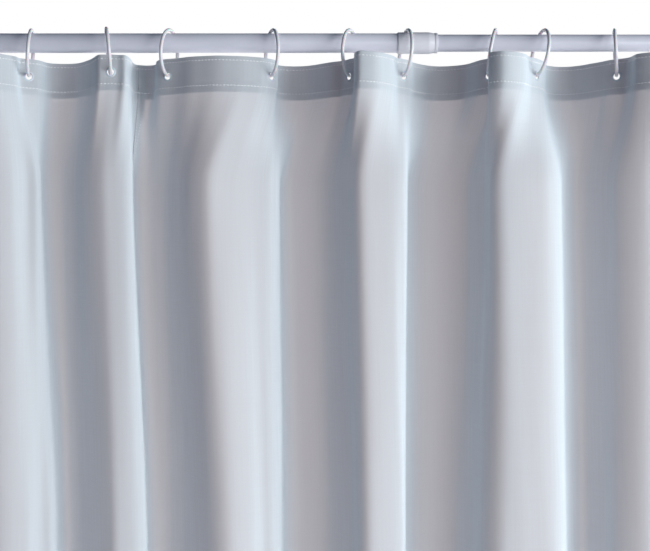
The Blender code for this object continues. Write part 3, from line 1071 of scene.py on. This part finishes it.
# ------------------------------------------------------------------ the cloth
@dataclass
class Drape:
    """How the flat cloth hangs: maps flat places and layers to points in the row frame."""

    drop: float = 2.00
    hole_depth: float = 0.0225
    layer: float = 0.0006
    header_end: float = 0.03
    spread_below: float = 0.16

    def __post_init__(self) -> None:
        """Reads the holes from the frame and draws both plans."""
        self.eyelets = [middle_of(f"eyelet_{n:02d}") for n in range(1, RING_COUNT + 1)]
        angles = []
        for number in range(1, RING_COUNT + 1):
            axis = flat_axis(f"eyelet_{number:02d}")
            if axis.y < 0:
                axis.negate()
            angles.append(math.atan2(-axis.x, axis.y))
        holds = [Hold(e.x, e.y, a) for e, a in zip(self.eyelets, angles)]
        self.header = PlanLine(holds, HEADER_FOLDS, (-0.036, 0.020), (0.030, -0.036), 0.009, 0.0022)
        self.plans = [self.header]
        for level in LEVELS:
            free = [Hold(h.x + x, y, math.radians(turn))
                    for h, x, y, turn in zip(holds, level.drifts, level.offsets, level.turns)]
            self.plans.append(PlanLine(free, level.folds, (-0.040, 0.016), (0.034, -0.030), 0.003,
                                       level.softness, held=False))
        self.width = float(self.header.at_length[-1])
        self.hole_lengths = [self.header.margin + i * self.header.pitch for i in range(RING_COUNT)]
        self.top = float(np.median([e.z for e in self.eyelets])) + self.hole_depth

    def shares(self, depth: np.ndarray) -> list[np.ndarray]:
        """How far the cloth has passed from each plan to the next one below.

        Args:
            depth: Flat distance below the top edge.

        Returns:
            The shares, one array for each step between plans.
        """
        starts = (self.header_end, LEVELS[0].depth)
        result = []
        for start, level in zip(starts, LEVELS):
            t = np.clip((depth - start) / (level.depth - start), 0.0, 1.0)
            result.append(0.6 * t + 0.4 * t * t * (3 - 2 * t))
        result[-1] = result[-1] + self.spread_below * np.clip(depth - LEVELS[-1].depth, 0.0, None)
        return result

    def near_holes(self, across: np.ndarray, depth: np.ndarray, reach: float) -> np.ndarray:
        """1 at a hole, falling to 0 at some reach from it.

        Args:
            across: Flat places across.
            depth: Flat places down.
            reach: The distance at which it has mostly gone.

        Returns:
            The shares.
        """
        gap = np.min([np.abs(across - h) for h in self.hole_lengths], axis=0)
        return np.exp(-((gap / reach) ** 2) - ((depth - self.hole_depth) / reach) ** 2)

    def ripple(self, across: np.ndarray, depth: np.ndarray) -> np.ndarray:
        """Small hanging ripples and creases, as an offset to the back.

        Args:
            across: Flat places across.
            depth: Flat places down.

        Returns:
            The offsets, in metres.
        """
        low = np.clip(depth / 0.5, 0.0, 1.0)
        slow = np.sin(31.0 * across + 1.7 * np.sin(2.1 * depth + 0.6) + 0.4)
        slow = slow + 0.6 * np.sin(57.0 * across - 1.3 * depth + 2.0 * np.sin(1.3 * depth))
        fine = np.sin(148.0 * across + 2.4 * np.sin(3.7 * depth + 9.0 * across))
        fine = fine * (0.5 + 0.5 * np.sin(4.3 * depth + 23.0 * across))
        cross = np.sin(19.0 * depth + 16.0 * across) * np.sin(41.0 * across + 0.7)
        free = 1.0 - self.near_holes(across, depth, 0.028)
        return free * (0.0011 * slow * (0.35 + 0.65 * low) + 0.00035 * fine + 0.00040 * cross)

    def lift(self, across: np.ndarray, depth: np.ndarray) -> np.ndarray:
        """How far the cloth is lifted by its rings, less its sag between them.

        Args:
            across: Flat places across.
            depth: Flat places down.

        Returns:
            The lifts, in metres.
        """
        heights = [e.z + self.hole_depth - self.top for e in self.eyelets]
        lifted = np.interp(across, self.hole_lengths, heights)
        between = np.clip((across - self.hole_lengths[0]) / self.header.pitch, 0.0, RING_COUNT - 1.0) % 1.0
        return (lifted - 0.0045 * between * (1 - between)) * np.exp(-((depth / 0.45) ** 2))

    def place(self, across: np.ndarray, depth: np.ndarray, layers: np.ndarray) -> np.ndarray:
        """Points of the hung cloth.

        Args:
            across: Flat places from the left side edge.
            depth: Flat places from the top edge.
            layers: How many layers behind the front one.

        Returns:
            The points, in the row frame, with one more axis than the arguments.
        """
        reads = [plan.read(across) for plan in self.plans]
        spot, way = reads[0]
        for share, above, below in zip(self.shares(depth), reads, reads[1:]):
            spot = spot + (below[0] - above[0]) * share[..., None]
            way = way + (below[1] - above[1]) * share[..., None]
        way /= np.linalg.norm(way, axis=-1, keepdims=True)
        back = np.stack([-way[..., 1], way[..., 0]], axis=-1)
        spot = spot + back * (self.ripple(across, depth) + layers * self.layer)[..., None]
        height = self.top - depth + self.lift(across, depth)
        return np.concatenate([spot, height[..., None]], axis=-1)


@dataclass(frozen=True)
class Line:
    """One row or column of a width's grid: its flat place, and how many layers behind it lies."""

    at: float
    layers: float


@dataclass
class Width:
    """One width of cloth, with its folded hems and its punched holes, as a shell."""

    name: str
    node: str
    drape: Drape
    start: float
    end: float
    hem_left: float = 0.0
    hem_right: float = 0.0
    tucked_right: float = 0.0
    tucked_layers: float = 1.6
    header: float = 0.0465
    bottom_hem: float = 0.030
    thickness: float = 0.00022
    hole_radius: float = 0.0052
    fine: float = 0.00125
    fold_gap: float = 0.0004

    def fold_over(self, edge: float, depth: float, inwards: float, layers: float,
                  step: float) -> list[Line]:
        """Lines of a hem, from its inner edge behind to the front of its folded edge.

        Args:
            edge: The flat place of the folded edge.
            depth: How deep the hem is.
            inwards: The direction of the cloth from the edge, 1 or -1.
            layers: How many layers behind the hem lies.
            step: The spacing of its lines.

        Returns:
            The lines.
        """
        count = max(2, round(depth / step))
        behind = [Line(edge + inwards * depth * i / count, layers) for i in range(count, 0, -1)]
        turn = [Line(edge + inwards * self.fold_gap * 0.4, layers * 0.9), Line(edge, layers * 0.5),
                Line(edge + inwards * self.fold_gap * 0.4, layers * 0.1)]
        return [*behind, *turn]

    def row_places(self) -> list[float]:
        """Flat places of the front's rows: fine by the holes, wider further down."""
        places = [0.0012, 0.0040, 0.0080, 0.0120]
        low = self.drape.hole_depth - 0.00625
        places = [p for p in places if p < low]
        places += [low + self.fine * i for i in range(11)]
        places += [0.0300, 0.0335, 0.0370, 0.0405, 0.0440, 0.0465, 0.0500, 0.0560, 0.0630]
        here = places[-1]
        stop = self.drape.drop - self.bottom_hem - 0.004
        while here < stop:
            here += min(0.024, 0.010 + here * 0.05)
            places.append(min(here, stop))
        places += [self.drape.drop - self.bottom_hem * s for s in (1.0, 0.85, 0.7, 0.5, 0.3, 0.1)]
        return places

    def rows(self) -> list[Line]:
        """All rows, from the header's inner edge over the top, down, and round the bottom hem."""
        top = [Line(self.header, 1.0)]
        behind = [p for p in reversed(self.row_places()) if 0.001 < p < self.header - 0.0005]
        top += [Line(p, 1.0) for p in behind]
        top += [Line(0.0002, 0.9), Line(0.0, 0.5), Line(0.0002, 0.1)]
        front = [Line(p, 0.0) for p in self.row_places()]
        bottom = list(reversed(self.fold_over(self.drape.drop, self.bottom_hem, -1.0, 1.0, 0.006)))
        return [*top, *front, *bottom]

    def column_places(self) -> list[float]:
        """Flat places of the front's columns: fine by the holes, closer where the cloth bends more."""
        line = self.drape.header
        bends = [np.abs(np.gradient(np.unwrap(np.arctan2(plan.tangents[:, 1], plan.tangents[:, 0]))))
                 for plan in self.drape.plans]
        density = line.spacing / 0.0052 + np.max(bends, axis=0) / math.radians(9)
        count = np.concatenate([[0.0], np.cumsum(density[1:])])
        places = list(np.interp(np.arange(0.0, count[-1]), count, line.at_length))
        kept = [p for p in places if min(abs(p - h) for h in self.drape.hole_lengths) > 0.0085]
        for hole in self.drape.hole_lengths:
            kept += [hole + self.fine * i for i in range(-6, 7)]
        inner = (self.start + 0.0012, self.end - 0.0012)
        return sorted(p for p in kept if inner[0] < p < inner[1])

    def columns(self) -> list[Line]:
        """All columns, with side hems where the width has them."""
        lines: list[Line] = []
        if self.hem_left:
            lines += self.fold_over(self.start, self.hem_left, 1.0, 2.2, 0.004)
        else:
            lines.append(Line(self.start, 0.0))
        for place in self.column_places():
            tuck = 0.0
            if self.tucked_right:
                t = min(1.0, max(0.0, (place - self.tucked_right + 0.008) / 0.006))
                tuck = self.tucked_layers * t * t * (3 - 2 * t)
            lines.append(Line(place, tuck))
        if self.hem_right:
            lines += list(reversed(self.fold_over(self.end, self.hem_right, -1.0, 2.2, 0.004)))
        else:
            lines.append(Line(self.end, self.tucked_layers if self.tucked_right else 0.0))
        return lines

    def build(self) -> bpy.types.Object:
        """Makes the width.

        Returns:
            The piece, with a live Solidify for its thickness and its flat coordinates as UVs.
        """
        rows, columns = self.rows(), self.columns()
        down = np.array([r.at for r in rows])
        across = np.array([c.at for c in columns])
        flat_u, flat_v = np.meshgrid(across, down)
        layers = np.array([r.layers for r in rows])[:, None] + np.array([c.layers for c in columns])[None,
                                                                                                     :]
        height, wide = flat_u.shape
        gone = np.zeros((height, wide), bool)
        nearest = np.full((height, wide), np.inf)
        hole_u = np.zeros((height, wide))
        for hole in self.drape.hole_lengths:
            away = np.hypot(flat_u - hole, flat_v - self.drape.hole_depth)
            gone |= away < self.hole_radius - 0.0002
            hole_u = np.where(away < nearest, hole, hole_u)
            nearest = np.minimum(nearest, away)
        corner_gone = gone[:-1, :-1] | gone[1:, :-1] | gone[:-1, 1:] | gone[1:, 1:]
        rim = np.zeros((height, wide), bool)
        for shift_v in (0, 1):
            for shift_u in (0, 1):
                rim[shift_v:height - 1 + shift_v, shift_u:wide - 1 + shift_u] |= corner_gone
        rim &= ~gone & (nearest < 0.009)
        pull = np.where(rim, self.hole_radius / np.maximum(nearest, 1e-6), 1.0)
        flat_u = hole_u + (flat_u - hole_u) * pull
        flat_v = self.drape.hole_depth + (flat_v - self.drape.hole_depth) * pull
        points = self.drape.place(flat_u, flat_v, layers)
        number = np.cumsum(~gone.ravel()) - 1
        number = number.reshape(height, wide)
        keep = ~corner_gone
        faces = np.stack([number[:-1, :-1][keep], number[1:, :-1][keep], number[1:, 1:][keep],
                          number[:-1, 1:][keep]], axis=1)
        piece = new_piece(self.name, points[~gone], faces)
        flat = np.stack([flat_u[~gone], flat_v[~gone]], axis=1)
        used = np.zeros(len(piece.data.loops), np.int32)
        piece.data.loops.foreach_get("vertex_index", used)
        layer = piece.data.uv_layers.new(name="flat_cloth")
        layer.data.foreach_set("uv", flat[used].astype(np.float32).ravel())
        shell = piece.modifiers.new("Thickness", "SOLIDIFY")
        shell.thickness = self.thickness
        shell.offset = 0.0
        log.info("%s: %d faces", self.name, len(faces))
        return piece


# ------------------------------------------------------------------ stitches
@dataclass
class Stitching:
    """Lockstitch lines, laid along paths on the cloth by one geometry tree."""

    drape: Drape
    material: bpy.types.Material
    pitch: float = 0.0045
    stitch_length: float = 0.0036
    thread_radius: float = 0.00058
    thread_depth: float = 0.00115

    def stitch_mesh(self) -> bpy.types.Object:
        """One stitch: a slim bead of thread along its own Z axis, which shows on both faces."""
        sides, rings = 6, ((0.0, -0.5), (0.7, -0.42), (1.0, -0.15), (1.0, 0.15), (0.7, 0.42), (0.0, 0.5))
        points, faces = [], []
        for radius, height in rings[1:-1]:
            for i in range(sides):
                turn = math.tau * i / sides
                points.append((radius * self.thread_depth * math.cos(turn),
                               radius * self.thread_radius * math.sin(turn), height * self.stitch_length))
        points += [(0.0, 0.0, -0.5 * self.stitch_length), (0.0, 0.0, 0.5 * self.stitch_length)]
        first, last = len(points) - 2, len(points) - 1
        for ring in range(3):
            for i in range(sides):
                j = (i + 1) % sides
                faces.append((ring * sides + i, ring * sides + j, (ring + 1) * sides + j,
                              (ring + 1) * sides + i))
        for i in range(sides):
            j = (i + 1) % sides
            faces.append((first, j, i))
            faces.append((last, 3 * sides + i, 3 * sides + j))
        return new_piece("stitch_pattern", points, faces)

    def tree(self, pattern: bpy.types.Object) -> bpy.types.NodeTree:
        """The geometry tree: stitches at an even pitch along every path, turned along it.

        Args:
            pattern: The stitch that is repeated.

        Returns:
            The tree.
        """
        tree = bpy.data.node_groups.new("stitch_lines", "GeometryNodeTree")
        tree.interface.new_socket("Geometry", in_out="INPUT", socket_type="NodeSocketGeometry")
        tree.interface.new_socket("Pitch", in_out="INPUT", socket_type="NodeSocketFloat")
        tree.interface.new_socket("Unevenness", in_out="INPUT", socket_type="NodeSocketFloat")
        tree.interface.new_socket("Seed", in_out="INPUT", socket_type="NodeSocketInt")
        tree.interface.new_socket("Geometry", in_out="OUTPUT", socket_type="NodeSocketGeometry")
        graph = Graph(tree)
        source = tree.nodes.new("NodeGroupInput").outputs
        paths = graph.add("GeometryNodeMeshToCurve", None, Mesh=source["Geometry"])
        points = graph.add("GeometryNodeCurveToPoints", {"mode": "LENGTH"}, Curve=paths.outputs[0],
                           Length=source["Pitch"])
        low = graph.math("SUBTRACT", 1.0, source["Unevenness"])
        high = graph.math("ADD", 1.0, source["Unevenness"])
        size = graph.add("FunctionNodeRandomValue", {"data_type": "FLOAT"}, _2=low, _3=high,
                         Seed=source["Seed"])
        info = graph.add("GeometryNodeObjectInfo", {"transform_space": "ORIGINAL"}, Object=pattern)
        placed = graph.add("GeometryNodeInstanceOnPoints", None, Points=points.outputs["Points"],
                           Instance=info.outputs["Geometry"], Rotation=points.outputs["Rotation"],
                           Scale=size.outputs[1])
        real = graph.add("GeometryNodeRealizeInstances", None, Geometry=placed.outputs[0])
        dressed = graph.add("GeometryNodeSetMaterial", None, Geometry=real.outputs[0],
                            Material=self.material)
        tree.links.new(dressed.outputs[0], tree.nodes.new("NodeGroupOutput").inputs["Geometry"])
        return tree

    def path(self, across: Sequence[float], depth: Sequence[float], layers: float) -> np.ndarray:
        """A path on the hung cloth between two flat places.

        Args:
            across: The flat places across, at its two ends.
            depth: The flat places down, at its two ends.
            layers: How many layers behind the front it runs.

        Returns:
            Its points.
        """
        length = math.hypot(across[1] - across[0], depth[1] - depth[0])
        count = max(2, round(length / 0.003))
        u = np.linspace(across[0], across[1], count)
        v = np.linspace(depth[0], depth[1], count)
        return self.drape.place(u, v, np.full(count, layers))

    def sew(self, name: str, paths: Sequence[np.ndarray], seed: int) -> bpy.types.Object:
        """Sews along paths.

        Args:
            name: The piece's name.
            paths: The paths' points.
            seed: The seed of the stitches' unevenness.

        Returns:
            The stitches, as a plain mesh.
        """
        points = np.concatenate(paths)
        edges, start = [], 0
        for path in paths:
            edges += [(start + i, start + i + 1) for i in range(len(path) - 1)]
            start += len(path)
        mesh = bpy.data.meshes.new(name + "_paths")
        mesh.from_pydata([tuple(p) for p in points], edges, [])
        guide = bpy.data.objects.new(name + "_paths", mesh)
        bpy.context.scene.collection.objects.link(guide)
        pattern = self.stitch_mesh()
        modifier = guide.modifiers.new("Stitches", "NODES")
        modifier.node_group = self.tree(pattern)
        items = modifier.node_group.interface.items_tree
        named = {i.name: i.identifier for i in items if i.in_out == "INPUT"}
        modifier[named["Pitch"]] = self.pitch
        modifier[named["Unevenness"]] = 0.10
        modifier[named["Seed"]] = seed
        seen = guide.evaluated_get(bpy.context.evaluated_depsgraph_get())
        made = bpy.data.meshes.new_from_object(seen)
        made.name = name
        bpy.data.objects.remove(guide)
        bpy.data.objects.remove(pattern)
        made.shade_smooth()
        piece = bpy.data.objects.new(name, made)
        bpy.context.scene.collection.objects.link(piece)
        log.info("%s: %d faces", name, len(made.polygons))
        return piece


# ------------------------------------------------------------------ the curtain
@dataclass
class Curtain:
    """The curtain: two widths of cloth joined by a seam, its stitches and its eyelets."""

    finishes: Finishes
    join: float = 0.4525
    overlap: float = 0.012
    side_hem: float = 0.011
    top_stitch: float = 0.0052
    header_stitch: float = 0.0375
    drawn_share: float = 0.40

    def follow(self, piece: bpy.types.Object) -> None:
        """Lets a piece of the cloth slide with the first ring and gather as the curtain is drawn.

        Args:
            piece: The piece.
        """
        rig.ride(piece, "ring_01")
        anchor = (middle_of("ring_01").x, 0.0, 0.0)
        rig.squash(piece, "curtain_draw", axis=(1.0, 0.0, 0.0), anchor=anchor, keep=self.drawn_share)

    def widths(self, drape: Drape) -> list[bpy.types.Object]:
        """Makes both widths of cloth.

        Args:
            drape: How the cloth hangs.

        Returns:
            The left width and the right one.
        """
        left = Width("left_width_cloth", "curtain_left_width", drape, 0.0, self.join + self.overlap,
                     hem_left=self.side_hem, tucked_right=self.join)
        right = Width("right_width_cloth", "curtain_right_width", drape, self.join, drape.width,
                      hem_right=self.side_hem)
        pieces = []
        for width in (left, right):
            piece = width.build()
            self.finishes.dress(piece, Slot.CLOTH, self.finishes.cloth)
            self.follow(piece)
            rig.replaces(piece, width.node)
            pieces.append(piece)
        return pieces

    def stitches(self, drape: Drape) -> list[bpy.types.Object]:
        """Sews the header, the side hems, the bottom hem and the join seam.

        Args:
            drape: How the cloth hangs.

        Returns:
            The stitches on the left width and those on the right one.
        """
        sewing = Stitching(drape, self.finishes.thread)
        low = drape.drop - 0.026
        edge = 0.004
        pieces = []
        for name, start, end, seed in (("left_width_stitches", edge, self.join - 0.002, 3),
                                       ("right_width_stitches", self.join + 0.001, drape.width - edge, 7)):
            paths = [sewing.path((start, end), (d, d), 0.5) for d in (self.top_stitch, self.header_stitch,
                                                                      low)]
            down = (self.header_stitch + 0.004, low - 0.004)
            if start < self.join - 0.01:
                side = self.side_hem - 0.002
                paths.append(sewing.path((side, side), down, 1.1))
            else:
                side = drape.width - self.side_hem + 0.002
                paths.append(sewing.path((side, side), down, 1.1))
                for seam in (self.join + 0.0022, self.join + 0.0092):
                    paths.append(sewing.path((seam, seam), (0.002, drape.drop - 0.003), 0.8))
            piece = sewing.sew(name, paths, seed)
            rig.slot(piece, Slot.CLOTH.value)
            self.follow(piece)
            pieces.append(piece)
        return pieces

    def eyelet(self, number: int) -> bpy.types.Object:
        """One moulded eyelet: a low flange on each face and a rounded bead round the hole.

        Args:
            number: Its ring's number.

        Returns:
            The piece.
        """
        node = f"eyelet_{number:02d}"
        axis = flat_axis(node)
        if axis.y < 0:
            axis.negate()
        turn = axis.to_track_quat("Z", "Y").to_matrix().to_4x4()
        place = Matrix.Translation(middle_of(node) + axis * 0.0003) @ turn
        outline = ((0.0069, 0.00046), (0.0070, 0.0), (0.0069, -0.00046), (0.0057, -0.00072),
                   (0.0052, -0.0010),
                   (0.0047, -0.0010), (0.0043, -0.0005), (0.0043, 0.0005), (0.0047, 0.0010), (0.0052,
                                                                                              0.0010),
                   (0.0057, 0.00072))
        piece = turned(node + "_finished", rounded(outline, 0.0002, 2), place, 48)
        self.finishes.dress(piece, Slot.EYELET)
        self.follow(piece)
        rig.replaces(piece, node)
        return piece

    def build(self) -> None:
        """Makes the curtain and declares both sheets."""
        drape = Drape()
        left, right = self.widths(drape)
        left_stitches, right_stitches = self.stitches(drape)
        eyelets = [self.eyelet(number) for number in range(1, RING_COUNT + 1)]
        rings = [f"ring_{n:02d}_finished" for n in range(1, RING_COUNT + 1)]
        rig.sheet(left, flat=(self.join + self.overlap, drape.drop), held="gathered", rests_on=rings[:3],
                 with_pieces=[left_stitches, *eyelets[:3]])
        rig.sheet(right, flat=(drape.width - self.join, drape.drop), held="gathered", rests_on=rings[3:],
                 with_pieces=[right_stitches, *eyelets[3:]])
        log.info("curtain with %d eyelets", len(eyelets))


# ------------------------------------------------------------------ floor, lights and camera
@dataclass(frozen=True)
class Softbox:
    """A soft light in front of the curtain, which faces its middle."""

    name: str
    azimuth: float                 # from straight ahead towards the right, in degrees
    height: float                  # as a share of its distance
    size: tuple[float, float]
    power: float                   # in watts


SOFTBOXES = (
    Softbox("side_softbox", 60.0, 0.1, (1.55, 4.2), 254.0),
    Softbox("front_softbox", 27.0, 0.0, (1.5, 1.5), 56.0),
)


@dataclass
class Studio:
    """A plain pale floor, soft light from the right, the front and behind, and the camera."""

    distance: float = 1.40
    eye_height: float = -0.302
    seen_width: float = 0.845
    centre: float = 0.590
    floor_gap: float = 0.050
    floor_ends: tuple[float, float] = (-1.4, 2.6)
    floor_reach: float = 2.0
    floor_colour: Colour = (0.72, 0.72, 0.73)
    floor_glow: Colour = (0.95, 0.97, 1.0)
    floor_glow_strength: float = 0.40
    room_colour: Colour = (0.30, 0.55, 1.0)
    room_strength: float = 0.08
    lit_height: float = -0.55
    panel_distance: float = 1.9
    panel_height: float = 0.1
    panel_size: tuple[float, float] = (2.8, 3.2)
    panel_radiance: float = 1.55
    softbox_distance: float = 5.0
    softbox_colour: Colour = (0.93, 0.985, 1.0)

    def light(self, name: str, place: Vector, at: Vector, size: tuple[float, float], power: float,
              colour: Colour) -> None:
        """A soft rectangular light.

        Args:
            name: Its name.
            place: Where it stands.
            at: What it faces.
            size: Its width and height.
            power: Its power, in watts.
            colour: Its colour.
        """
        data = bpy.data.lights.new(name, "AREA")
        data.shape = "RECTANGLE"
        data.size, data.size_y = size
        data.energy = power
        data.color = colour
        lamp = bpy.data.objects.new(name, data)
        bpy.context.scene.collection.objects.link(lamp)
        lamp.location = place
        lamp.rotation_euler = (at - place).to_track_quat("-Z", "Z").to_euler()

    def world(self) -> None:
        """A dim cool room, which the camera sees as plain white."""
        world = bpy.data.worlds.new("plain_room")
        bpy.context.scene.world = world
        world.use_nodes = True
        graph = Graph(world.node_tree)
        output = world.node_tree.nodes["World Output"]
        dim = world.node_tree.nodes["Background"]
        dim.inputs["Color"].default_value = rgba(self.room_colour)
        dim.inputs["Strength"].default_value = self.room_strength
        white = graph.add("ShaderNodeBackground", None, Color=(1.0, 1.0, 1.0, 1.0), Strength=1.0)
        seen = graph.add("ShaderNodeLightPath").outputs["Is Camera Ray"]
        mixed = graph.add("ShaderNodeMixShader", None, _0=seen, _1=dim.outputs[0], _2=white.outputs[0])
        world.node_tree.links.new(mixed.outputs[0], output.inputs["Surface"])

    def camera(self) -> None:
        """The camera, level, with the rod near the top of its view."""
        data = bpy.data.cameras.new("camera")
        data.sensor_width = 36.0
        data.lens = data.sensor_width * self.distance / self.seen_width
        camera = bpy.data.objects.new("camera", data)
        bpy.context.scene.collection.objects.link(camera)
        camera.location = (self.centre, -self.distance, self.eye_height)
        camera.rotation_euler = (math.pi / 2, 0.0, 0.0)
        bpy.context.scene.camera = camera

    def floor(self) -> None:
        """The floor, a little below the curtain's lower edge."""
        z = CAD_BOX[0].z - self.floor_gap
        (left, right), reach = self.floor_ends, self.floor_reach
        corners = [(left, -reach, z), (right, -reach, z), (right, reach, z), (left, reach, z)]
        floor = new_piece("floor", corners, [(0, 1, 2, 3)], smooth=False)
        material = bpy.data.materials.new("pale_floor")
        material.use_nodes = True
        shader = material.node_tree.nodes["Principled BSDF"]
        shader.inputs["Base Color"].default_value = rgba(self.floor_colour)
        shader.inputs["Roughness"].default_value = 0.9
        shader.inputs["Emission Color"].default_value = rgba(self.floor_glow)
        shader.inputs["Emission Strength"].default_value = self.floor_glow_strength
        floor.data.materials.append(material)
        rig.stage(floor)

    def build(self) -> None:
        """Sets the floor, the lights and the camera."""
        self.camera()
        self.world()
        self.floor()
        middle = Vector((self.centre, 0.0, self.lit_height))
        up = Vector((0.0, 0.0, self.panel_height))
        width, height = self.panel_size
        self.light("back_panel", middle + Vector((0.0, self.panel_distance, self.panel_height)), middle + up,
                   self.panel_size, self.panel_radiance * math.pi * width * height, (1.0, 1.0, 1.0))
        for box in SOFTBOXES:
            turn = math.radians(box.azimuth)
            place = Vector((math.sin(turn), -math.cos(turn), box.height)) * self.softbox_distance
            self.light(box.name, middle + place, middle, box.size, box.power, self.softbox_colour)
        bpy.context.scene.view_settings.view_transform = "Standard"
        log.info("studio")


def main() -> None:
    """Builds the object and its studio."""
    logging.basicConfig(level=logging.INFO, format="%(name)s: %(message)s")
    Studio().build()
    finishes = Finishes()
    Rod(finishes).build()
    Rings(finishes).build()
    Curtain(finishes).build()
    boxes = {"cad": [list(c) for c in CAD_BOX], "visual": [list(c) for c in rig.bounds()]}
    with open("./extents.json", "w") as file:
        json.dump(boxes, file)


if __name__ == "__main__":
    main()
